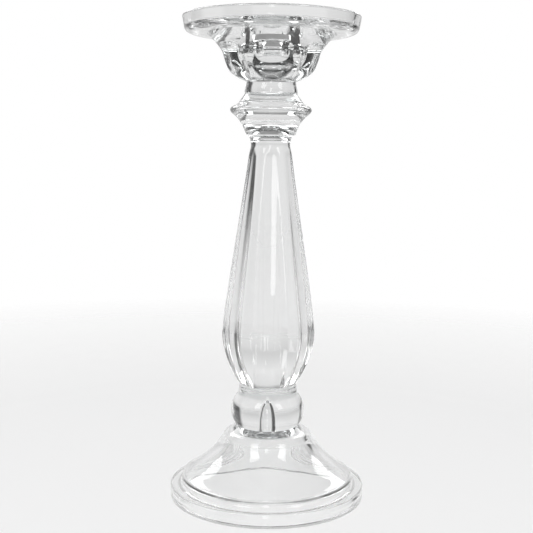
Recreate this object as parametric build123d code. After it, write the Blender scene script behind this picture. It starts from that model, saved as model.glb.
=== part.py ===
"""Clear glass candlestick, in millimetres, +Z up, with its origin at the centre of the face it stands on.

Eight glass sections stand on each other, and neighbours meet on flat faces, where hot glass is fused:
foot, ball knop, stem collar, fluted stem, diamond knop, cup collar, candle cup and pillar plate.
Each section is turned about Z from an outline of (radius, height) points, with heights from the
section's own lower face. Six upright flutes are then cut into the stem and six into the cup, with
rounded ribs between them.
"""

from build123d import *
import os

# Foot
foot_radius = 52.0
foot_height = 39.0
foot_joint_radius = 16.5
flange_width = 6.4
flange_height = 7.4
step_height = 12.9
step_ledge = 2.8
shoulder_radius = 23.5
shoulder_drop = 5.2
base_ring_width = 6.7
bell_wall = 3.6
ceiling_thickness = 4.0
hollow_lip_width = 2.0
hollow_lip_rise = 1.85
finger_joint_radius = 3.4
finger_mouth_radius = 9.5

# Ball knop
ball_height = 16.8
ball_radius = 19.8
finger_radius = 2.9
finger_height = 9.0

# Stem collar
stem_collar_height = 5.6
stem_collar_radius = 15.5
stem_collar_flare = 0.7

# Fluted stem
stem_height = 127.0
stem_foot_radius = 15.4
stem_joint_radius = 14.4
belly_radius = 24.7
belly_height = 27.3
waist_radius = 10.3
waist_flare = 1.1
waist_flare_height = 6.1
stem_flute_depth = 3.3
stem_flute_centre = 50.0

# Diamond knop
knop_height = 21.5
knop_radius = 21.5
knop_edge_drop = 3.4
knop_skirt_radius = 12.9
knop_skirt_height = 5.2

# Cup collar
cup_collar_height = 10.8
cup_collar_lip_radius = 16.9
cup_collar_bead_radius = 13.8
neck_radius = 12.9

# Candle cup
cup_height = 24.3
cup_bowl_radius = 22.6
cup_bowl_height = 6.8
cup_side_radius = 25.2
cup_side_height = 14.4
cup_flare_radius = 33.5
cup_flute_depth = 3.8
cup_flute_height = 19.6
cup_flute_centre = 50.0
socket_radius = 11.4
socket_depth = 14.5
socket_corner = 4.5

# Pillar plate
plate_radius = 46.1
plate_thickness = 3.7
plate_height = 9.0
rim_width = 3.4
rim_taper = 0.5
plate_taper = 1.4
plate_edge_round = 3.0

# Shared
flute_count = 6
soft_edge = 0.9

# Levels of the faces where the sections meet
ball_level = foot_height
stem_collar_level = ball_level + ball_height
stem_level = stem_collar_level + stem_collar_height
knop_level = stem_level + stem_height
cup_collar_level = knop_level + knop_height
cup_level = cup_collar_level + cup_collar_height
plate_level = cup_level + cup_height


def soft_corner(start, corner, end):
    """A rounded corner of an outline."""
    return Bezier(start, corner, end)


def turned(*edges):
    """The solid that a closed outline of (radius, height) edges sweeps round Z."""
    return revolve(Plane.XZ * make_face(edges), Axis.Z)


def fluted(body, flute_centre, *outline):
    """Cuts upright flutes round the body, one pair facing along Y. A flute is round about its
    own upright axis, which stands flute_centre away from Z. The outline runs up the bottom of the
    flute, as (distance from Z, height), and back down that axis."""
    axis = Axis((flute_centre, 0, 0), (0, 0, 1))
    cutter = revolve(Plane.XZ * make_face(outline), axis)
    for flute in range(flute_count):
        body = body - Rot(Z=(flute + 0.5) * 360 / flute_count) * cutter
    return body


def foot():
    """Bell with a two-step rim, hollow below, where it stands on a flat ring."""
    step_radius = foot_radius - flange_width
    ring_inside = foot_radius - base_ring_width
    step_foot = step_radius + step_ledge
    shoulder_height = foot_height - shoulder_drop
    ceiling = foot_height - ceiling_thickness
    bell_run = step_radius - soft_edge - shoulder_radius
    bell_rise = shoulder_height - step_height
    inner_foot = (ring_inside - hollow_lip_width, flange_height + hollow_lip_rise)
    inner_shoulder = (shoulder_radius - 0.9 * bell_wall, shoulder_height - 0.9 * bell_wall)
    inner_run = inner_foot[0] - inner_shoulder[0]
    inner_rise = inner_shoulder[1] - inner_foot[1]
    return turned(
        Line((ring_inside + soft_edge, 0), (foot_radius - soft_edge, 0)),
        soft_corner((foot_radius - soft_edge, 0), (foot_radius, 0), (foot_radius, soft_edge)),
        Line((foot_radius, soft_edge), (foot_radius, flange_height - soft_edge)),
        soft_corner(
            (foot_radius, flange_height - soft_edge),
            (foot_radius, flange_height),
            (foot_radius - soft_edge, flange_height),
        ),
        Line((foot_radius - soft_edge, flange_height), (step_foot, flange_height)),
        Bezier(
            (step_foot, flange_height),
            (step_radius, flange_height + soft_edge),
            (step_radius, step_height - 2 * soft_edge),
        ),
        soft_corner(
            (step_radius, step_height - 2 * soft_edge),
            (step_radius, step_height - 0.5 * soft_edge),
            (step_radius - soft_edge, step_height),
        ),
        Bezier(
            (step_radius - soft_edge, step_height),
            (step_radius - soft_edge - 0.42 * bell_run, step_height + 0.235 * bell_rise),
            (shoulder_radius + 0.18 * bell_run, shoulder_height - 0.365 * bell_rise),
            (shoulder_radius, shoulder_height),
        ),
        Bezier(
            (shoulder_radius, shoulder_height),
            (0.89 * shoulder_radius + 0.11 * foot_joint_radius, shoulder_height + 0.31 * shoulder_drop),
            (0.61 * shoulder_radius + 0.39 * foot_joint_radius, shoulder_height + 0.42 * shoulder_drop),
            (foot_joint_radius, foot_height),
        ),
        Line((foot_joint_radius, foot_height), (finger_joint_radius, foot_height)),
        Bezier(
            (finger_joint_radius, foot_height),
            (1.24 * finger_joint_radius, foot_height - 0.55 * ceiling_thickness),
            (1.65 * finger_joint_radius, ceiling + 0.18 * ceiling_thickness),
            (finger_mouth_radius, ceiling),
        ),
        Bezier(
            (finger_mouth_radius, ceiling),
            (0.5 * (finger_mouth_radius + inner_shoulder[0]), 0.8 * ceiling + 0.2 * inner_shoulder[1]),
            (inner_shoulder[0] - 0.07 * inner_run, inner_shoulder[1] + 0.16 * inner_rise),
            inner_shoulder,
        ),
        Bezier(
            inner_shoulder,
            (inner_shoulder[0] + 0.11 * inner_run, inner_shoulder[1] - 0.36 * inner_rise),
            (inner_foot[0] - 0.35 * inner_run, inner_foot[1] + 0.27 * inner_rise),
            inner_foot,
        ),
        Bezier(inner_foot, (ring_inside, 0.6 * flange_height), (ring_inside, soft_edge)),
        soft_corner((ring_inside, soft_edge), (ring_inside, 0), (ring_inside + soft_edge, 0)),
    )


def ball_knop():
    """Ball with the finger-shaped cavity that the plunger leaves in its underside."""
    ball_top_radius = stem_collar_radius + stem_collar_flare
    return turned(
        Line((finger_joint_radius, 0), (foot_joint_radius, 0)),
        ThreePointArc(
            (foot_joint_radius, 0),
            (ball_radius, 0.52 * ball_height),
            (ball_top_radius, ball_height),
        ),
        Line((ball_top_radius, ball_height), (0, ball_height)),
        Line((0, ball_height), (0, finger_height)),
        Bezier(
            (0, finger_height),
            (0.5 * finger_radius, finger_height),
            (0.85 * finger_radius, 0.8 * finger_height),
            (finger_radius, 0.5 * finger_height),
        ),
        Bezier(
            (finger_radius, 0.5 * finger_height),
            (0.9 * finger_radius + 0.1 * finger_joint_radius, 0.3 * finger_height),
            (0.3 * finger_radius + 0.7 * finger_joint_radius, 0.15 * finger_height),
            (finger_joint_radius, 0),
        ),
    )


def stem_collar():
    """Round ring collar between the ball and the stem."""
    foot_of_ring = stem_collar_radius + stem_collar_flare
    return turned(
        Line((0, 0), (foot_of_ring, 0)),
        Bezier(
            (foot_of_ring, 0),
            (stem_collar_radius, 0.3 * stem_collar_height),
            (stem_collar_radius, 0.7 * stem_collar_height),
        ),
        Bezier(
            (stem_collar_radius, 0.7 * stem_collar_height),
            (stem_collar_radius, 0.9 * stem_collar_height),
            (stem_joint_radius, stem_collar_height),
        ),
        Line((stem_joint_radius, stem_collar_height), (0, stem_collar_height)),
        Line((0, stem_collar_height), (0, 0)),
    )


def fluted_stem():
    """Tapering stem with flutes between rounded ribs, which run out below its round waist."""
    flare_level = stem_height - waist_flare_height
    taper = flare_level - belly_height
    flare_radius = waist_radius + waist_flare
    flute_middle = belly_radius - stem_flute_depth
    flute_foot = 0.86 * stem_joint_radius
    flute_top = waist_radius + 0.3 * waist_flare
    round_stem = turned(
        Line((0, 0), (stem_foot_radius, 0)),
        Bezier(
            (stem_foot_radius, 0),
            (0.41 * stem_foot_radius + 0.59 * belly_radius, 0.3 * belly_height),
            (belly_radius, 0.73 * belly_height),
            (belly_radius, belly_height),
        ),
        Bezier(
            (belly_radius, belly_height),
            (belly_radius, belly_height + 0.115 * taper),
            (flare_radius + 0.233 * (belly_radius - flare_radius), flare_level - 0.255 * taper),
            (flare_radius, flare_level),
        ),
        Bezier(
            (flare_radius, flare_level),
            (waist_radius + 0.6 * waist_flare, flare_level + 0.54 * waist_flare_height),
            (waist_radius, flare_level + 0.7 * waist_flare_height),
            (waist_radius, stem_height),
        ),
        Line((waist_radius, stem_height), (0, stem_height)),
        Line((0, stem_height), (0, 0)),
    )
    return fluted(
        round_stem,
        stem_flute_centre,
        Line((flute_foot, -soft_edge), (flute_foot, 0)),
        Bezier(
            (flute_foot, 0),
            (0.34 * flute_foot + 0.66 * flute_middle, 0.35 * belly_height),
            (flute_middle, 0.71 * belly_height),
            (flute_middle, 1.04 * belly_height),
        ),
        Bezier(
            (flute_middle, 1.04 * belly_height),
            (flute_middle, belly_height + 0.125 * taper),
            (flute_top + 0.23 * (flute_middle - flute_top), flare_level - 0.255 * taper),
            (flute_top, flare_level),
        ),
        Line((flute_top, flare_level), (flute_top, stem_height + soft_edge)),
        Line((flute_top, stem_height + soft_edge), (stem_flute_centre, stem_height + soft_edge)),
        Line((stem_flute_centre, stem_height + soft_edge), (stem_flute_centre, -soft_edge)),
        Line((stem_flute_centre, -soft_edge), (flute_foot, -soft_edge)),
    )


def diamond_knop():
    """Sharp-edged knop that stands on a small skirt above the waist."""
    edge_height = knop_height - knop_edge_drop
    return turned(
        Line((0, 0), (waist_radius, 0)),
        Bezier(
            (waist_radius, 0),
            (waist_radius, 0.7 * knop_skirt_height),
            (0.5 * (waist_radius + knop_skirt_radius), 0.9 * knop_skirt_height),
            (knop_skirt_radius, knop_skirt_height),
        ),
        Bezier(
            (knop_skirt_radius, knop_skirt_height),
            (0.8 * knop_skirt_radius + 0.2 * knop_radius, 0.5 * knop_height),
            (0.5 * (knop_skirt_radius + knop_radius), 0.64 * knop_height),
            (knop_radius - soft_edge, edge_height - 2 * soft_edge),
        ),
        Bezier(
            (knop_radius - soft_edge, edge_height - 2 * soft_edge),
            (knop_radius + 0.3 * soft_edge, edge_height - 0.5 * soft_edge),
            (knop_radius + 0.2 * soft_edge, edge_height + soft_edge),
            (knop_radius - 2 * soft_edge, edge_height + 2.2 * soft_edge),
        ),
        Line(
            (knop_radius - 2 * soft_edge, edge_height + 2.2 * soft_edge),
            (cup_collar_lip_radius, knop_height),
        ),
        Line((cup_collar_lip_radius, knop_height), (0, knop_height)),
        Line((0, knop_height), (0, 0)),
    )


def cup_collar():
    """Short neck with a soft bead, which flares down to the lip on the knop."""
    bead_low = 0.42 * cup_collar_height
    bead_high = 0.78 * cup_collar_height
    return turned(
        Line((0, 0), (cup_collar_lip_radius - 0.5 * soft_edge, 0)),
        soft_corner(
            (cup_collar_lip_radius - 0.5 * soft_edge, 0),
            (cup_collar_lip_radius, 0),
            (cup_collar_lip_radius - 0.2 * soft_edge, 0.5 * soft_edge),
        ),
        Bezier(
            (cup_collar_lip_radius - 0.2 * soft_edge, 0.5 * soft_edge),
            (0.7 * cup_collar_bead_radius + 0.3 * cup_collar_lip_radius, 0.3 * cup_collar_height),
            (cup_collar_bead_radius, bead_low),
        ),
        Bezier(
            (cup_collar_bead_radius, bead_low),
            (cup_collar_bead_radius, bead_high),
            (neck_radius, bead_high),
            (neck_radius, cup_collar_height),
        ),
        Line((neck_radius, cup_collar_height), (0, cup_collar_height)),
        Line((0, cup_collar_height), (0, 0)),
    )


def candle_cup():
    """Fluted cup that flares to meet the plate, with a blind round socket for a taper candle."""
    flute_bowl = cup_bowl_radius - cup_flute_depth
    flute_side = cup_side_radius - cup_flute_depth
    flute_end = cup_flare_radius + soft_edge
    socket_floor = cup_height + plate_thickness - socket_depth
    round_cup = turned(
        Line((0, 0), (neck_radius, 0)),
        Bezier(
            (neck_radius, 0),
            (0.58 * neck_radius + 0.42 * cup_bowl_radius, 0.3 * cup_bowl_height),
            (0.22 * neck_radius + 0.78 * cup_bowl_radius, 0.44 * cup_bowl_height),
            (cup_bowl_radius, cup_bowl_height),
        ),
        Bezier(
            (cup_bowl_radius, cup_bowl_height),
            (
                0.7 * cup_bowl_radius + 0.3 * cup_side_radius,
                0.8 * cup_bowl_height + 0.2 * cup_side_height,
            ),
            (
                0.23 * cup_bowl_radius + 0.77 * cup_side_radius,
                0.34 * cup_bowl_height + 0.66 * cup_side_height,
            ),
            (cup_side_radius, cup_side_height),
        ),
        Bezier(
            (cup_side_radius, cup_side_height),
            (0.9 * cup_side_radius + 0.1 * cup_flare_radius, 0.75 * cup_side_height + 0.25 * cup_height),
            (0.4 * cup_side_radius + 0.6 * cup_flare_radius, 0.3 * cup_side_height + 0.7 * cup_height),
            (cup_flare_radius, cup_height),
        ),
        Line((cup_flare_radius, cup_height), (socket_radius, cup_height)),
        Line((socket_radius, cup_height), (socket_radius, socket_floor + socket_corner)),
        soft_corner(
            (socket_radius, socket_floor + socket_corner),
            (socket_radius, socket_floor),
            (socket_radius - socket_corner, socket_floor),
        ),
        Line((socket_radius - socket_corner, socket_floor), (0, socket_floor)),
        Line((0, socket_floor), (0, 0)),
    )
    return fluted(
        round_cup,
        cup_flute_centre,
        Line((neck_radius, -soft_edge), (neck_radius, 0)),
        Bezier(
            (neck_radius, 0),
            (0.5 * (neck_radius + flute_bowl), 0.35 * cup_bowl_height),
            (0.15 * neck_radius + 0.85 * flute_bowl, 0.6 * cup_bowl_height),
            (flute_bowl, cup_bowl_height),
        ),
        Bezier(
            (flute_bowl, cup_bowl_height),
            (0.7 * flute_bowl + 0.3 * flute_side, 1.26 * cup_bowl_height),
            (0.2 * flute_bowl + 0.8 * flute_side, 0.82 * cup_side_height),
            (flute_side, cup_side_height),
        ),
        Bezier(
            (flute_side, cup_side_height),
            (0.9 * flute_side + 0.1 * flute_end, 0.33 * cup_side_height + 0.67 * cup_flute_height),
            (0.6 * flute_side + 0.4 * flute_end, 0.1 * cup_side_height + 0.9 * cup_flute_height),
            (flute_end, cup_flute_height),
        ),
        Line((flute_end, cup_flute_height), (cup_flute_centre, cup_flute_height)),
        Line((cup_flute_centre, cup_flute_height), (cup_flute_centre, -soft_edge)),
        Line((cup_flute_centre, -soft_edge), (neck_radius, -soft_edge)),
    )


def pillar_plate():
    """Round plate with a raised rim, and a hole in the middle that leads into the cup's socket."""
    underside_radius = plate_radius - plate_taper
    round_start = underside_radius - 1.6 * plate_edge_round
    round_end = underside_radius + plate_taper * plate_edge_round / plate_height
    rim_inside = plate_radius - rim_width
    floor_edge = rim_inside - rim_taper
    return turned(
        Line((socket_radius, 0), (round_start, 0)),
        soft_corner((round_start, 0), (underside_radius, 0), (round_end, plate_edge_round)),
        Line((round_end, plate_edge_round), (plate_radius, plate_height - soft_edge)),
        soft_corner(
            (plate_radius, plate_height - soft_edge),
            (plate_radius, plate_height),
            (plate_radius - soft_edge, plate_height),
        ),
        Line((plate_radius - soft_edge, plate_height), (rim_inside + soft_edge, plate_height)),
        soft_corner(
            (rim_inside + soft_edge, plate_height),
            (rim_inside, plate_height),
            (rim_inside, plate_height - soft_edge),
        ),
        Line((rim_inside, plate_height - soft_edge), (floor_edge, plate_thickness + soft_edge)),
        soft_corner(
            (floor_edge, plate_thickness + soft_edge),
            (floor_edge, plate_thickness),
            (floor_edge - soft_edge, plate_thickness),
        ),
        Line((floor_edge - soft_edge, plate_thickness), (socket_radius, plate_thickness)),
        Line((socket_radius, plate_thickness), (socket_radius, 0)),
    )


sections = {
    "foot": (foot, 0),
    "ball_knop": (ball_knop, ball_level),
    "stem_collar": (stem_collar, stem_collar_level),
    "fluted_stem": (fluted_stem, stem_level),
    "diamond_knop": (diamond_knop, knop_level),
    "cup_collar": (cup_collar, cup_collar_level),
    "candle_cup": (candle_cup, cup_level),
    "pillar_plate": (pillar_plate, plate_level),
}

os.makedirs("parts", exist_ok=True)
for name, (make, level) in sections.items():
    export_step(Pos(Z=level) * make(), f"parts/{name}.step")
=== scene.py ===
"""Looks of the clear glass candlestick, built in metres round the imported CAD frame.

Every glass section gets a dense, smooth mesh in place of its CAD node. An outline is a list of
(radius, height) points in millimetres, with heights from the section's own lower face. Its overall
radius, height and level come from the CAD node's box. Faces where two sections are fused carry a
clear joint finish, so that light runs through the whole stick as through one body of glass.
"""

import math

import bmesh
import bpy
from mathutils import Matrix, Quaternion, Vector, noise


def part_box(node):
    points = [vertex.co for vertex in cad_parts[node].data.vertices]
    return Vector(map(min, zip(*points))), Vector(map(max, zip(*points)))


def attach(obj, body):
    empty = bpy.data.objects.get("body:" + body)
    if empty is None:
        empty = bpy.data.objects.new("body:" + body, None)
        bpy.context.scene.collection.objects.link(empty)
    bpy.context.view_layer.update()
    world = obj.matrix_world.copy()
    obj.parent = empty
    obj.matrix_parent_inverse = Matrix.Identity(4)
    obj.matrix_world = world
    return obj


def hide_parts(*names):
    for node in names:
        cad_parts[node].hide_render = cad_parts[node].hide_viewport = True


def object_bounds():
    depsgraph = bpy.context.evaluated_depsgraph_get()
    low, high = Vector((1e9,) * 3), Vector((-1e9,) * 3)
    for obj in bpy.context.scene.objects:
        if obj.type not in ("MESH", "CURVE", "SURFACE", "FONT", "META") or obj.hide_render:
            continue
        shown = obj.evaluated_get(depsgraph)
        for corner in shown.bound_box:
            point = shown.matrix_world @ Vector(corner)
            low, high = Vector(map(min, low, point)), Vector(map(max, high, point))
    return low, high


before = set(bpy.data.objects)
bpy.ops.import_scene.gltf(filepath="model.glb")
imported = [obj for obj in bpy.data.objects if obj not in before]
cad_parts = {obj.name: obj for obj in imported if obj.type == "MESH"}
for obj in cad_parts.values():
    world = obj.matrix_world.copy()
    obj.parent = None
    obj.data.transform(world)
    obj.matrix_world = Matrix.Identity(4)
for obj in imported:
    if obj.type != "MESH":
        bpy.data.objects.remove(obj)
cad_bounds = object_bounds()

MM = 0.001
TURNS = 180
OUTLINE_STEP = 0.75
FLUTES = 6
FLUTE_SAMPLES = 9
RIB_SAMPLES = 6
HALF_FLUTE = math.radians(180 / FLUTES)
SOFT_EDGE = 0.9
CREASE_SOFTNESS = 0.6
LEAST_CREASE_ANGLE = math.radians(1.5)
LEAST_RIB_ANGLE = math.radians(0.6)
SHARP_ANGLE = math.radians(34)
ON_AXIS = 1e-4
GLASS_FINISH = 0
FUSED_FINISH = 1
RIPPLE_DEPTH = 0.06
RIPPLE_LENGTH = 7.0

# Camera, lights and floor
CAMERA_DISTANCE = 0.5053
CAMERA_HEIGHT = 0.1848
CAMERA_AZIMUTH = -2.0
CAMERA_PITCH = 6.82
CAMERA_ROLL = 0.67
CAMERA_LENS = 64.76
CAMERA_SHIFT = -0.0049
FLOOR_FADE_START = 0.25
FLOOR_FADE_END = 0.7
FLOOR_LIGHT = 0.8
WINDOW_BRIGHTNESS = 4.0
CLOTHS = [(-160, -115), (-20, 54), (138, 170)]
CLOTH_EDGE = 0.015
CLOTH_TONE = 0.1
STUDIO_TONES = [
    (0.0, 0.82),
    (0.42, 0.8),
    (0.485, 0.72),
    (0.51, 0.66),
    (0.60, 0.85),
    (0.70, 0.78),
    (0.74, 0.28),
    (1.0, 0.28),
]


# Sizes from the frame


def node_level(node):
    """Height of a CAD node's lower face above the floor, in millimetres."""
    low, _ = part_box(node)
    return low.z / MM


def node_height(node):
    """Height of a CAD node, in millimetres."""
    low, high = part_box(node)
    return (high.z - low.z) / MM


def node_radius(node):
    """Outer radius of a CAD node, in millimetres."""
    _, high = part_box(node)
    return high.x / MM


# Outlines


def line(start, end):
    """Straight stretch of an outline."""
    length = math.dist(start, end)
    count = max(1, round(length / OUTLINE_STEP))
    return [
        (
            start[0] + (end[0] - start[0]) * step / count,
            start[1] + (end[1] - start[1]) * step / count,
        )
        for step in range(count + 1)
    ]


def curve(*controls):
    """Bezier stretch of an outline."""
    length = sum(math.dist(a, b) for a, b in zip(controls, controls[1:]))
    count = max(8, round(length / OUTLINE_STEP))
    degree = len(controls) - 1
    points = []
    for step in range(count + 1):
        t = step / count
        weights = [
            math.comb(degree, k) * t**k * (1 - t) ** (degree - k) for k in range(degree + 1)
        ]
        radius = sum(w * p[0] for w, p in zip(weights, controls))
        height = sum(w * p[1] for w, p in zip(weights, controls))
        points.append((radius, height))
    return points


def arc(start, through, end):
    """Circular stretch of an outline through three points."""
    (ax, ay), (bx, by), (cx, cy) = start, through, end
    d = 2 * (ax * (by - cy) + bx * (cy - ay) + cx * (ay - by))
    a2 = ax * ax + ay * ay
    b2 = bx * bx + by * by
    c2 = cx * cx + cy * cy
    ux = (a2 * (by - cy) + b2 * (cy - ay) + c2 * (ay - by)) / d
    uy = (a2 * (cx - bx) + b2 * (ax - cx) + c2 * (bx - ax)) / d
    radius = math.dist(start, (ux, uy))
    first = math.atan2(ay - uy, ax - ux)
    last = math.atan2(cy - uy, cx - ux)
    count = max(8, round(abs(last - first) * radius / OUTLINE_STEP))
    turns = [first + (last - first) * step / count for step in range(count + 1)]
    return [(ux + radius * math.cos(a), uy + radius * math.sin(a)) for a in turns]


def flat(start, end):
    """Fused flat face, which needs only its two ends."""
    return [start, end]


def height_lookup(points):
    """Function that reads the radius of a rising outline at a height."""

    def radius_at(height):
        for (r0, z0), (r1, z1) in zip(points, points[1:]):
            if height <= z1:
                return r1 if z1 == z0 else r0 + (r1 - r0) * (height - z0) / (z1 - z0)
        return points[-1][0]

    return radius_at


# Meshes


def smooth_least(a, b, softness):
    """The smaller of two values, rounded where they cross."""
    near = max(softness - abs(a - b), 0) / softness
    return min(a, b) - near * near * softness / 4


def ripple(x, y, z):
    """Shallow waviness of fire-polished glass, always inwards, in millimetres."""
    wave = noise.noise(Vector((x, y, 0.12 * z)) / RIPPLE_LENGTH)
    return -RIPPLE_DEPTH * (0.5 + 0.5 * wave)


def flute_angles(half_width):
    """Angles round one sixth, from the middle of a flute, crowded round its two creases."""
    across = [
        half_width * math.sin(0.5 * math.pi * k / FLUTE_SAMPLES)
        for k in range(FLUTE_SAMPLES + 1)
    ]
    rib = [
        half_width + (HALF_FLUTE - half_width) * (1 - math.cos(0.5 * math.pi * k / RIB_SAMPLES))
        for k in range(1, RIB_SAMPLES + 1)
    ]
    half = across + rib
    return [-a for a in reversed(half[1:])] + half[:-1]


def flute_radius(middle, centre, off):
    """Distance from Z to a flute at an angle off its middle. The flute is part of a round tube whose
    centre is the given distance from Z, and it comes nearest to Z at its middle."""
    tube = centre - middle
    across = centre * math.sin(off)
    if abs(across) >= tube:
        return centre
    return centre * math.cos(off) - math.sqrt(tube * tube - across * across)


def crease_angle(radius, middle, centre):
    """Angle from the middle of a flute to where it comes out through a round body."""
    cosine = (radius * radius + 2 * centre * middle - middle * middle) / (2 * radius * centre)
    angle = math.acos(max(-1.0, min(1.0, cosine)))
    return min(max(angle, LEAST_CREASE_ANGLE), HALF_FLUTE - LEAST_RIB_ANGLE)


def ring(radius, height, middle=None, centre=None):
    """Points round Z at one outline point, with flutes where their centre is given."""
    points = []
    if centre is None:
        angles = [(2 * math.pi * k / TURNS, 0.0) for k in range(TURNS)]
    else:
        crease = crease_angle(radius, middle, centre) if middle else LEAST_CREASE_ANGLE
        angles = []
        for flute in range(FLUTES):
            facing = (2 * flute + 1) * HALF_FLUTE
            angles += [(facing + off, off) for off in flute_angles(crease)]
    for angle, off in angles:
        r = radius
        if middle:
            r = smooth_least(radius, flute_radius(middle, centre, off), CREASE_SOFTNESS)
        x = r * math.cos(angle)
        y = r * math.sin(angle)
        if r > 0:
            scale = 1 + ripple(x, y, height) / r
            x *= scale
            y *= scale
        points.append((x, y, height))
    return points


def glass_piece(name, stretches, flute_centre=None):
    """Closed mesh of a section. Each stretch is (points, finish, flute reader or None), and the
    stretches follow each other round the outline."""
    level = node_level(name)
    mesh = bmesh.new()
    previous = None
    first = None
    for points, finish, flute_at in stretches:
        for index, (radius, height) in enumerate(points):
            if index == 0 and previous is not None:
                continue
            if radius < ON_AXIS:
                current = [mesh.verts.new((0, 0, (height + level) * MM))]
            else:
                middle = flute_at(height) if flute_at else None
                at = ring(radius, height + level, middle, flute_centre)
                current = [mesh.verts.new((x * MM, y * MM, z * MM)) for x, y, z in at]
            if previous is not None:
                join_rings(mesh, previous, current, finish)
            else:
                first = current
            previous = current
    if len(first) > 1:
        close_loop(mesh, previous, first)
    bmesh.ops.recalc_face_normals(mesh, faces=mesh.faces)
    data = bpy.data.meshes.new(name + "_glass")
    mesh.to_mesh(data)
    mesh.free()
    piece = bpy.data.objects.new(name + "_glass", data)
    bpy.context.scene.collection.objects.link(piece)
    data.materials.append(GLASS)
    data.materials.append(FUSED)
    data.shade_smooth()
    data.set_sharp_from_angle(angle=SHARP_ANGLE)
    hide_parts(name)
    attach(piece, "root")
    # The glass neither shades the floor nor throws light on it.
    piece.visible_shadow = False
    piece.visible_diffuse = False


def join_rings(mesh, low, high, finish):
    """Faces between two neighbouring rings, either of which may be a single point on Z."""
    count = max(len(low), len(high))
    for k in range(count):
        after = (k + 1) % count
        if len(low) == 1:
            corners = (low[0], high[after], high[k])
        elif len(high) == 1:
            corners = (low[k], low[after], high[0])
        else:
            corners = (low[k], low[after], high[after], high[k])
        mesh.faces.new(corners).material_index = finish


def close_loop(mesh, last, first):
    """Welds the last ring of a ring-shaped section onto its first ring."""
    pairs = {a: b for a, b in zip(last, first)}
    bmesh.ops.weld_verts(mesh, targetmap=pairs)


# Materials


def glass_material():
    """Clear pressed glass, faintly grey in the thickness, with soft unevenness from the mould."""
    material = bpy.data.materials.new("clear_glass")
    material.use_nodes = True
    tree = material.node_tree
    surface = tree.nodes["Principled BSDF"]
    surface.inputs["Base Color"].default_value = (0.965, 0.968, 0.968, 1)
    surface.inputs["Roughness"].default_value = 0.0
    surface.inputs["IOR"].default_value = 1.51
    surface.inputs["Transmission Weight"].default_value = 1.0
    place = tree.nodes.new("ShaderNodeTexCoord")
    waves = tree.nodes.new("ShaderNodeTexNoise")
    waves.inputs["Scale"].default_value = 90
    waves.inputs["Detail"].default_value = 1.5
    waves.inputs["Roughness"].default_value = 0.35
    bump = tree.nodes.new("ShaderNodeBump")
    bump.inputs["Strength"].default_value = 0.25
    bump.inputs["Distance"].default_value = 0.0002
    tree.links.new(place.outputs["Object"], waves.inputs["Vector"])
    tree.links.new(waves.outputs["Fac"], bump.inputs["Height"])
    tree.links.new(bump.outputs["Normal"], surface.inputs["Normal"])
    depth = tree.nodes.new("ShaderNodeVolumeAbsorption")
    depth.inputs["Color"].default_value = (0.82, 0.83, 0.83, 1)
    depth.inputs["Density"].default_value = 3.0
    tree.links.new(depth.outputs["Volume"], tree.nodes["Material Output"].inputs["Volume"])
    return material


def fused_material():
    """Inside of a joint, where two sections are one body of glass and nothing is seen."""
    material = bpy.data.materials.new("fused_joint")
    material.use_nodes = True
    tree = material.node_tree
    tree.nodes.remove(tree.nodes["Principled BSDF"])
    clear = tree.nodes.new("ShaderNodeBsdfTransparent")
    tree.links.new(clear.outputs["BSDF"], tree.nodes["Material Output"].inputs["Surface"])
    return material


GLASS = glass_material()
FUSED = fused_material()


# Sections, from the floor up

finger_joint_radius = 3.4
foot_joint_radius = 16.5
stem_collar_foot = 16.2
stem_joint_radius = 14.4
stem_flute_foot = 0.86 * stem_joint_radius
stem_flute_centre = 50.0
cup_flute_centre = 50.0
waist_radius = 10.3
cup_collar_lip_radius = 16.9
neck_radius = 12.9
cup_flare_radius = 33.5
socket_radius = 11.4
plate_thickness = 3.7


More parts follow.
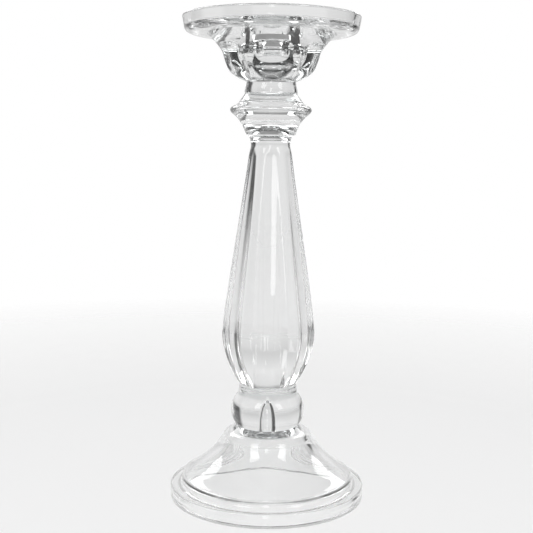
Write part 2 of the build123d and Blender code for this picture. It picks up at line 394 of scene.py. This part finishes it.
def foot():
    """Hollow bell with a two-step rim."""
    height = node_height("foot")
    radius = node_radius("foot")
    flange_width = 6.4
    flange_height = 7.4
    step_radius = radius - flange_width
    step_height = 12.9
    shoulder_radius = 23.5
    shoulder_drop = 5.2
    shoulder_height = height - shoulder_drop
    base_ring_width = 6.7
    ring_inside = radius - base_ring_width
    bell_wall = 3.6
    ceiling_thickness = 4.0
    finger_mouth_radius = 9.5
    step_ledge = 2.8
    step_foot = step_radius + step_ledge
    ceiling = height - ceiling_thickness
    bell_run = step_radius - SOFT_EDGE - shoulder_radius
    bell_rise = shoulder_height - step_height
    hollow_lip_width = 2.0
    inner_foot = (ring_inside - hollow_lip_width, 1.25 * flange_height)
    inner_shoulder = (shoulder_radius - 0.9 * bell_wall, shoulder_height - 0.9 * bell_wall)
    inner_run = inner_foot[0] - inner_shoulder[0]
    inner_rise = inner_shoulder[1] - inner_foot[1]
    glass_piece(
        "foot",
        [
            (line((ring_inside + SOFT_EDGE, 0), (radius - SOFT_EDGE, 0)), GLASS_FINISH, None),
            (curve((radius - SOFT_EDGE, 0), (radius, 0), (radius, SOFT_EDGE)), GLASS_FINISH, None),
            (line((radius, SOFT_EDGE), (radius, flange_height - SOFT_EDGE)), GLASS_FINISH, None),
            (
                curve(
                    (radius, flange_height - SOFT_EDGE),
                    (radius, flange_height),
                    (radius - SOFT_EDGE, flange_height),
                ),
                GLASS_FINISH,
                None,
            ),
            (line((radius - SOFT_EDGE, flange_height), (step_foot, flange_height)), GLASS_FINISH, None),
            (
                curve(
                    (step_foot, flange_height),
                    (step_radius, flange_height + SOFT_EDGE),
                    (step_radius, step_height - 2 * SOFT_EDGE),
                ),
                GLASS_FINISH,
                None,
            ),
            (
                curve(
                    (step_radius, step_height - 2 * SOFT_EDGE),
                    (step_radius, step_height - 0.5 * SOFT_EDGE),
                    (step_radius - SOFT_EDGE, step_height),
                ),
                GLASS_FINISH,
                None,
            ),
            (
                curve(
                    (step_radius - SOFT_EDGE, step_height),
                    (step_radius - SOFT_EDGE - 0.42 * bell_run, step_height + 0.235 * bell_rise),
                    (shoulder_radius + 0.18 * bell_run, shoulder_height - 0.365 * bell_rise),
                    (shoulder_radius, shoulder_height),
                ),
                GLASS_FINISH,
                None,
            ),
            (
                curve(
                    (shoulder_radius, shoulder_height),
                    (shoulder_radius - 0.8, shoulder_height + 1.6),
                    (0.61 * shoulder_radius + 0.39 * foot_joint_radius, shoulder_height + 2.2),
                    (foot_joint_radius, height),
                ),
                GLASS_FINISH,
                None,
            ),
            (flat((foot_joint_radius, height), (finger_joint_radius, height)), FUSED_FINISH, None),
            (
                curve(
                    (finger_joint_radius, height),
                    (1.24 * finger_joint_radius, height - 0.55 * ceiling_thickness),
                    (1.65 * finger_joint_radius, ceiling + 0.18 * ceiling_thickness),
                    (finger_mouth_radius, ceiling),
                ),
                GLASS_FINISH,
                None,
            ),
            (
                curve(
                    (finger_mouth_radius, ceiling),
                    (
                        0.5 * (finger_mouth_radius + inner_shoulder[0]),
                        0.8 * ceiling + 0.2 * inner_shoulder[1],
                    ),
                    (
                        inner_shoulder[0] - 0.07 * inner_run,
                        inner_shoulder[1] + 0.16 * inner_rise,
                    ),
                    inner_shoulder,
                ),
                GLASS_FINISH,
                None,
            ),
            (
                curve(
                    inner_shoulder,
                    (
                        inner_shoulder[0] + 0.11 * inner_run,
                        inner_shoulder[1] - 0.36 * inner_rise,
                    ),
                    (inner_foot[0] - 0.35 * inner_run, inner_foot[1] + 0.27 * inner_rise),
                    inner_foot,
                ),
                GLASS_FINISH,
                None,
            ),
            (
                curve(inner_foot, (ring_inside, 0.6 * flange_height), (ring_inside, SOFT_EDGE)),
                GLASS_FINISH,
                None,
            ),
            (
                curve((ring_inside, SOFT_EDGE), (ring_inside, 0), (ring_inside + SOFT_EDGE, 0)),
                GLASS_FINISH,
                None,
            ),
        ],
    )


def ball_knop():
    """Ball with a finger-shaped cavity in its underside."""
    height = node_height("ball_knop")
    radius = node_radius("ball_knop")
    finger_radius = 2.9
    finger_height = 9.0
    glass_piece(
        "ball_knop",
        [
            (
                curve(
                    (0, finger_height),
                    (0.5 * finger_radius, finger_height),
                    (0.85 * finger_radius, 0.8 * finger_height),
                    (finger_radius, 0.5 * finger_height),
                ),
                GLASS_FINISH,
                None,
            ),
            (
                curve(
                    (finger_radius, 0.5 * finger_height),
                    (0.9 * finger_radius + 0.1 * finger_joint_radius, 0.3 * finger_height),
                    (0.3 * finger_radius + 0.7 * finger_joint_radius, 0.15 * finger_height),
                    (finger_joint_radius, 0),
                ),
                GLASS_FINISH,
                None,
            ),
            (flat((finger_joint_radius, 0), (foot_joint_radius, 0)), FUSED_FINISH, None),
            (
                arc((foot_joint_radius, 0), (radius, 0.52 * height), (stem_collar_foot, height)),
                GLASS_FINISH,
                None,
            ),
            (flat((stem_collar_foot, height), (0, height)), FUSED_FINISH, None),
        ],
    )


def stem_collar():
    """Round ring collar. The six-sided foot of the stem stands on it."""
    height = node_height("stem_collar")
    radius = 15.5
    glass_piece(
        "stem_collar",
        [
            (flat((0, 0), (stem_collar_foot, 0)), FUSED_FINISH, None),
            (
                curve((stem_collar_foot, 0), (radius, 0.3 * height), (radius, 0.7 * height)),
                GLASS_FINISH,
                None,
            ),
            (
                curve((radius, 0.7 * height), (radius, 0.9 * height), (stem_joint_radius, height)),
                GLASS_FINISH,
                None,
            ),
            ([(stem_joint_radius, height), (stem_joint_radius, height)], GLASS_FINISH, stem_foot_flute),
            (flat((stem_joint_radius, height), (0, height)), FUSED_FINISH, stem_foot_flute),
        ],
        stem_flute_centre,
    )


def stem_foot_flute(_height):
    """Middle of the flutes at the stem's foot."""
    return stem_flute_foot


def fluted_stem():
    """Tapering stem with flutes between rounded ribs, which run out below its round waist."""
    height = node_height("fluted_stem")
    belly_radius = node_radius("fluted_stem")
    foot_radius = 15.4
    belly_height = 27.3
    waist_flare = 1.1
    waist_flare_height = 6.1
    flute_depth = 3.3
    flare_level = height - waist_flare_height
    taper = flare_level - belly_height
    flare_radius = waist_radius + waist_flare
    flute_middle = belly_radius - flute_depth
    flute_top = waist_radius + 0.3 * waist_flare
    foot_swell = curve(
        (foot_radius, 0),
        (0.41 * foot_radius + 0.59 * belly_radius, 0.3 * belly_height),
        (belly_radius, 0.73 * belly_height),
        (belly_radius, belly_height),
    )
    long_taper = curve(
        (belly_radius, belly_height),
        (belly_radius, belly_height + 0.115 * taper),
        (flare_radius + 0.233 * (belly_radius - flare_radius), flare_level - 0.255 * taper),
        (flare_radius, flare_level),
    )
    waist = curve(
        (flare_radius, flare_level),
        (waist_radius + 0.6 * waist_flare, flare_level + 0.54 * waist_flare_height),
        (waist_radius, flare_level + 0.7 * waist_flare_height),
        (waist_radius, height),
    )
    flute_swell = curve(
        (stem_flute_foot, 0),
        (0.34 * stem_flute_foot + 0.66 * flute_middle, 0.35 * belly_height),
        (flute_middle, 0.71 * belly_height),
        (flute_middle, 1.04 * belly_height),
    )
    flute_taper = curve(
        (flute_middle, 1.04 * belly_height),
        (flute_middle, belly_height + 0.125 * taper),
        (flute_top + 0.23 * (flute_middle - flute_top), flare_level - 0.255 * taper),
        (flute_top, flare_level),
    )
    flute_end = line((flute_top, flare_level), (flute_top, height))
    flute_at = height_lookup(flute_swell + flute_taper[1:] + flute_end[1:])
    glass_piece(
        "fluted_stem",
        [
            (flat((0, 0), (foot_radius, 0)), FUSED_FINISH, flute_at),
            (foot_swell, GLASS_FINISH, flute_at),
            (long_taper, GLASS_FINISH, flute_at),
            (waist, GLASS_FINISH, flute_at),
            (flat((waist_radius, height), (0, height)), FUSED_FINISH, flute_at),
        ],
        stem_flute_centre,
    )


def diamond_knop():
    """Sharp-edged knop that stands on a small skirt above the waist."""
    height = node_height("diamond_knop")
    radius = node_radius("diamond_knop")
    edge_drop = 3.4
    edge_height = height - edge_drop
    skirt_radius = 12.9
    skirt_height = 5.2
    exposed = cup_collar_lip_radius - 0.5 * SOFT_EDGE
    glass_piece(
        "diamond_knop",
        [
            (flat((0, 0), (waist_radius, 0)), FUSED_FINISH, None),
            (
                curve(
                    (waist_radius, 0),
                    (waist_radius, 0.7 * skirt_height),
                    (0.5 * (waist_radius + skirt_radius), 0.9 * skirt_height),
                    (skirt_radius, skirt_height),
                ),
                GLASS_FINISH,
                None,
            ),
            (
                curve(
                    (skirt_radius, skirt_height),
                    (0.8 * skirt_radius + 0.2 * radius, 0.5 * height),
                    (0.5 * (skirt_radius + radius), 0.64 * height),
                    (radius - SOFT_EDGE, edge_height - 2 * SOFT_EDGE),
                ),
                GLASS_FINISH,
                None,
            ),
            (
                curve(
                    (radius - SOFT_EDGE, edge_height - 2 * SOFT_EDGE),
                    (radius + 0.3, edge_height - 0.5 * SOFT_EDGE),
                    (radius + 0.2, edge_height + SOFT_EDGE),
                    (radius - 2 * SOFT_EDGE, edge_height + 2.2 * SOFT_EDGE),
                ),
                GLASS_FINISH,
                None,
            ),
            (
                line(
                    (radius - 2 * SOFT_EDGE, edge_height + 2.2 * SOFT_EDGE),
                    (cup_collar_lip_radius, height),
                ),
                GLASS_FINISH,
                None,
            ),
            (flat((cup_collar_lip_radius, height), (exposed, height)), GLASS_FINISH, None),
            (flat((exposed, height), (0, height)), FUSED_FINISH, None),
        ],
    )


def cup_collar():
    """Short neck with a soft bead, which flares down to the lip on the knop."""
    height = node_height("cup_collar")
    bead_radius = 13.8
    bead_low = 0.42 * height
    bead_high = 0.78 * height
    lip = cup_collar_lip_radius
    glass_piece(
        "cup_collar",
        [
            (flat((0, 0), (lip - 0.5 * SOFT_EDGE, 0)), FUSED_FINISH, None),
            (
                curve(
                    (lip - 0.5 * SOFT_EDGE, 0), (lip, 0), (lip - 0.2 * SOFT_EDGE, 0.5 * SOFT_EDGE)
                ),
                GLASS_FINISH,
                None,
            ),
            (
                curve(
                    (lip - 0.2 * SOFT_EDGE, 0.5 * SOFT_EDGE),
                    (bead_radius + 0.9, 0.3 * height),
                    (bead_radius, bead_low),
                ),
                GLASS_FINISH,
                None,
            ),
            (
                curve(
                    (bead_radius, bead_low),
                    (bead_radius, bead_high),
                    (neck_radius, bead_high),
                    (neck_radius, height),
                ),
                GLASS_FINISH,
                None,
            ),
            (flat((neck_radius, height), (0, height)), FUSED_FINISH, None),
        ],
    )


def candle_cup():
    """Fluted cup that flares to meet the plate, with a blind round socket for a taper candle."""
    height = node_height("candle_cup")
    bowl_radius = 22.6
    bowl_height = 6.8
    side_radius = 25.2
    side_height = 14.4
    flute_depth = 3.8
    flute_height = 19.6
    socket_depth = 14.5
    socket_corner = 4.5
    flute_bowl = bowl_radius - flute_depth
    flute_side = side_radius - flute_depth
    flute_end = cup_flare_radius + SOFT_EDGE
    socket_floor = height + plate_thickness - socket_depth
    bowl = curve(
        (neck_radius, 0),
        (0.58 * neck_radius + 0.42 * bowl_radius, 0.3 * bowl_height),
        (0.22 * neck_radius + 0.78 * bowl_radius, 0.44 * bowl_height),
        (bowl_radius, bowl_height),
    )
    side = curve(
        (bowl_radius, bowl_height),
        (0.7 * bowl_radius + 0.3 * side_radius, bowl_height + 1.5),
        (side_radius - 0.6, side_height - 2.6),
        (side_radius, side_height),
    )
    flare = curve(
        (side_radius, side_height),
        (side_radius + 0.8, 0.75 * side_height + 0.25 * height),
        (0.4 * side_radius + 0.6 * cup_flare_radius, 0.3 * side_height + 0.7 * height),
        (cup_flare_radius, height),
    )
    flute = curve(
        (neck_radius, 0),
        (0.5 * (neck_radius + flute_bowl), 0.35 * bowl_height),
        (0.15 * neck_radius + 0.85 * flute_bowl, 0.6 * bowl_height),
        (flute_bowl, bowl_height),
    )
    flute += curve(
        (flute_bowl, bowl_height),
        (0.7 * flute_bowl + 0.3 * flute_side, 1.26 * bowl_height),
        (0.2 * flute_bowl + 0.8 * flute_side, 0.82 * side_height),
        (flute_side, side_height),
    )[1:]
    flute += curve(
        (flute_side, side_height),
        (0.9 * flute_side + 0.1 * flute_end, 0.33 * side_height + 0.67 * flute_height),
        (0.6 * flute_side + 0.4 * flute_end, 0.1 * side_height + 0.9 * flute_height),
        (flute_end, flute_height),
    )[1:]
    flute += line((flute_end, flute_height), (flute_end, height))[1:]
    flute_at = height_lookup(flute)
    outside = with_levels(bowl + side[1:] + flare[1:], flute)
    glass_piece(
        "candle_cup",
        [
            (flat((0, 0), (neck_radius, 0)), FUSED_FINISH, flute_at),
            (outside, GLASS_FINISH, flute_at),
            (flat((cup_flare_radius, height), (socket_radius, height)), FUSED_FINISH, None),
            (
                line((socket_radius, height), (socket_radius, socket_floor + socket_corner)),
                GLASS_FINISH,
                None,
            ),
            (
                curve(
                    (socket_radius, socket_floor + socket_corner),
                    (socket_radius, socket_floor),
                    (socket_radius - socket_corner, socket_floor),
                ),
                GLASS_FINISH,
                None,
            ),
            (line((socket_radius - socket_corner, socket_floor), (0, socket_floor)), GLASS_FINISH, None),
        ],
        cup_flute_centre,
    )


def with_levels(outline, other):
    """A rising outline with extra points at the heights of another one."""
    radius_at = height_lookup(outline)
    top = outline[-1][1]
    bottom = outline[0][1]
    heights = {round(z, 3) for _, z in outline}
    heights |= {round(z, 3) for _, z in other if bottom < z < top}
    return [(radius_at(z), z) for z in sorted(heights)]


def pillar_plate():
    """Round plate with a raised rim and a hole in the middle."""
    height = node_height("pillar_plate")
    radius = node_radius("pillar_plate")
    taper = 1.4
    edge_round = 3.0
    underside = radius - taper
    round_start = underside - 1.6 * edge_round
    round_end = underside + taper * edge_round / height
    rim_width = 3.4
    rim_taper = 0.5
    rim_inside = radius - rim_width
    floor_edge = rim_inside - rim_taper
    thickness = plate_thickness
    glass_piece(
        "pillar_plate",
        [
            (flat((socket_radius, 0), (cup_flare_radius, 0)), FUSED_FINISH, None),
            (line((cup_flare_radius, 0), (round_start, 0)), GLASS_FINISH, None),
            (curve((round_start, 0), (underside, 0), (round_end, edge_round)), GLASS_FINISH, None),
            (line((round_end, edge_round), (radius, height - SOFT_EDGE)), GLASS_FINISH, None),
            (
                curve((radius, height - SOFT_EDGE), (radius, height), (radius - SOFT_EDGE, height)),
                GLASS_FINISH,
                None,
            ),
            (line((radius - SOFT_EDGE, height), (rim_inside + SOFT_EDGE, height)), GLASS_FINISH, None),
            (
                curve(
                    (rim_inside + SOFT_EDGE, height),
                    (rim_inside, height),
                    (rim_inside, height - SOFT_EDGE),
                ),
                GLASS_FINISH,
                None,
            ),
            (
                line((rim_inside, height - SOFT_EDGE), (floor_edge, thickness + SOFT_EDGE)),
                GLASS_FINISH,
                None,
            ),
            (
                curve(
                    (floor_edge, thickness + SOFT_EDGE),
                    (floor_edge, thickness),
                    (floor_edge - SOFT_EDGE, thickness),
                ),
                GLASS_FINISH,
                None,
            ),
            (line((floor_edge - SOFT_EDGE, thickness), (socket_radius, thickness)), GLASS_FINISH, None),
            (line((socket_radius, thickness), (socket_radius, 0)), GLASS_FINISH, None),
        ],
    )


foot()
ball_knop()
stem_collar()
fluted_stem()
diamond_knop()
cup_collar()
candle_cup()
pillar_plate()


# Studio


def floor():
    """Pale floor that fades out with distance."""
    mesh = bmesh.new()
    bmesh.ops.create_circle(mesh, cap_ends=True, radius=1.6, segments=96)
    data = bpy.data.meshes.new("floor")
    mesh.to_mesh(data)
    mesh.free()
    ground = bpy.data.objects.new("floor", data)
    bpy.context.scene.collection.objects.link(ground)
    material = bpy.data.materials.new("pale_floor")
    material.use_nodes = True
    tree = material.node_tree
    surface = tree.nodes["Principled BSDF"]
    surface.inputs["Base Color"].default_value = (0.93, 0.93, 0.93, 1)
    surface.inputs["Roughness"].default_value = 0.6
    surface.inputs["Specular IOR Level"].default_value = 0.2
    place = tree.nodes.new("ShaderNodeTexCoord")
    distance = tree.nodes.new("ShaderNodeVectorMath")
    distance.operation = "LENGTH"
    fade = tree.nodes.new("ShaderNodeMapRange")
    fade.inputs["From Min"].default_value = FLOOR_FADE_START
    fade.inputs["From Max"].default_value = FLOOR_FADE_END
    fade.inputs["To Min"].default_value = 1.0
    fade.inputs["To Max"].default_value = 0.0
    tree.links.new(place.outputs["Object"], distance.inputs[0])
    tree.links.new(distance.outputs["Value"], fade.inputs["Value"])
    tree.links.new(fade.outputs["Result"], surface.inputs["Alpha"])
    data.materials.append(material)


def studio_world():
    """White backdrop for the camera. The glass and the floor see dark cloths on grey walls instead."""
    world = bpy.data.worlds.new("studio")
    world.use_nodes = True
    tree = world.node_tree
    tree.nodes.clear()
    place = tree.nodes.new("ShaderNodeTexCoord")
    round_about = tree.nodes.new("ShaderNodeTexGradient")
    round_about.gradient_type = "RADIAL"
    cloths = tree.nodes.new("ShaderNodeValToRGB")
    set_ramp(cloths, cloth_stops())
    split = tree.nodes.new("ShaderNodeSeparateXYZ")
    lift = tree.nodes.new("ShaderNodeMapRange")
    lift.inputs["From Min"].default_value = -1.0
    lift.inputs["From Max"].default_value = 1.0
    rise = tree.nodes.new("ShaderNodeValToRGB")
    set_ramp(rise, STUDIO_TONES)
    both = tree.nodes.new("ShaderNodeMix")
    both.data_type = "RGBA"
    both.blend_type = "MULTIPLY"
    both.inputs["Factor"].default_value = 1.0
    studio = tree.nodes.new("ShaderNodeBackground")
    backdrop = tree.nodes.new("ShaderNodeBackground")
    backdrop.inputs["Color"].default_value = (1, 1, 1, 1)
    ray = tree.nodes.new("ShaderNodeLightPath")
    choose = tree.nodes.new("ShaderNodeMixShader")
    output = tree.nodes.new("ShaderNodeOutputWorld")
    tree.links.new(place.outputs["Generated"], round_about.inputs["Vector"])
    tree.links.new(round_about.outputs["Color"], cloths.inputs["Fac"])
    tree.links.new(place.outputs["Generated"], split.inputs["Vector"])
    tree.links.new(split.outputs["Z"], lift.inputs["Value"])
    tree.links.new(lift.outputs["Result"], rise.inputs["Fac"])
    # Of the mix node's sockets, 6 and 7 take the two colours and 2 gives the result.
    tree.links.new(cloths.outputs["Color"], both.inputs[6])
    tree.links.new(rise.outputs["Color"], both.inputs[7])
    tree.links.new(both.outputs[2], studio.inputs["Color"])
    tree.links.new(ray.outputs["Is Camera Ray"], choose.inputs["Fac"])
    tree.links.new(studio.outputs["Background"], choose.inputs[1])
    tree.links.new(backdrop.outputs["Background"], choose.inputs[2])
    tree.links.new(choose.outputs["Shader"], output.inputs["Surface"])
    bpy.context.scene.world = world


def cloth_stops():
    """Brightness round the studio as (share of a turn from -X, brightness), dark at each cloth."""
    stops = [(0.0, 1.0)]
    for start, end in CLOTHS:
        first = 0.5 + start / 360
        last = 0.5 + end / 360
        stops.append((first, 1.0))
        stops.append((first + CLOTH_EDGE, CLOTH_TONE))
        stops.append((last - CLOTH_EDGE, CLOTH_TONE))
        stops.append((last, 1.0))
    stops.append((1.0, 1.0))
    return stops


def set_ramp(ramp, stops):
    """Grey stops of a colour ramp as (position, brightness)."""
    elements = ramp.color_ramp.elements
    elements[0].position = stops[0][0]
    elements[0].color = (stops[0][1],) * 3 + (1,)
    elements[1].position = stops[-1][0]
    elements[1].color = (stops[-1][1],) * 3 + (1,)
    for position, grey in stops[1:-1]:
        elements.new(position).color = (grey, grey, grey, 1)


def soft_box(name, azimuth, elevation, distance, width, height, brightness):
    """Rectangular soft light that faces the stick's middle."""
    light = bpy.data.lights.new(name, "AREA")
    light.shape = "RECTANGLE"
    light.size = width
    light.size_y = height
    light.energy = brightness * width * height * math.pi
    lamp = bpy.data.objects.new(name, light)
    bpy.context.scene.collection.objects.link(lamp)
    turn = math.radians(azimuth)
    rise = math.radians(elevation)
    away = Vector(
        (math.sin(turn) * math.cos(rise), -math.cos(turn) * math.cos(rise), math.sin(rise))
    )
    middle = (cad_bounds[0] + cad_bounds[1]) / 2
    lamp.location = middle + away * distance
    lamp.rotation_mode = "QUATERNION"
    lamp.rotation_quaternion = (-away).to_track_quat("-Z", "Y")
    return lamp


def lights():
    """Windows in front and behind, a strip in front, and a floor light that the glass does not see."""
    soft_box("front_left_light", -38, 38, 1.0, 0.30, 0.55, WINDOW_BRIGHTNESS)
    soft_box("front_right_light", 42, 35, 1.0, 0.26, 0.55, WINDOW_BRIGHTNESS)
    soft_box("front_strip", -3, 16, 1.0, 0.14, 0.42, WINDOW_BRIGHTNESS)
    soft_box("back_left_light", 215, 38, 1.0, 0.30, 0.55, WINDOW_BRIGHTNESS)
    soft_box("back_right_light", 140, 35, 1.0, 0.26, 0.55, WINDOW_BRIGHTNESS)
    wash = soft_box("floor_light", 0, 88, 1.2, 1.6, 1.6, FLOOR_LIGHT)
    wash.visible_glossy = False
    wash.visible_transmission = False
    wash.visible_camera = False


def camera():
    """Camera in front, level with the stick's waist and tilted slightly down."""
    data = bpy.data.cameras.new("camera")
    data.lens = CAMERA_LENS
    data.sensor_width = 36
    data.shift_x = CAMERA_SHIFT
    data.clip_start = 0.01
    data.clip_end = 20
    eye = bpy.data.objects.new("camera", data)
    bpy.context.scene.collection.objects.link(eye)
    turn = math.radians(CAMERA_AZIMUTH)
    pitch = math.radians(CAMERA_PITCH)
    eye.location = (
        CAMERA_DISTANCE * math.sin(turn),
        -CAMERA_DISTANCE * math.cos(turn),
        CAMERA_HEIGHT,
    )
    ahead = Vector(
        (-math.sin(turn) * math.cos(pitch), math.cos(turn) * math.cos(pitch), -math.sin(pitch))
    )
    eye.rotation_mode = "QUATERNION"
    roll = Quaternion((0, 0, 1), math.radians(CAMERA_ROLL))
    eye.rotation_quaternion = ahead.to_track_quat("-Z", "Y") @ roll
    bpy.context.scene.camera = eye


def light_paths():
    """Enough bounces for thick glass, and plain colours."""
    scene = bpy.context.scene
    scene.cycles.max_bounces = 32
    scene.cycles.transmission_bounces = 32
    scene.cycles.transparent_max_bounces = 48
    scene.cycles.glossy_bounces = 12
    scene.cycles.diffuse_bounces = 3
    scene.cycles.use_denoising = True
    scene.view_settings.view_transform = "Standard"


floor()
studio_world()
lights()
camera()
light_paths()
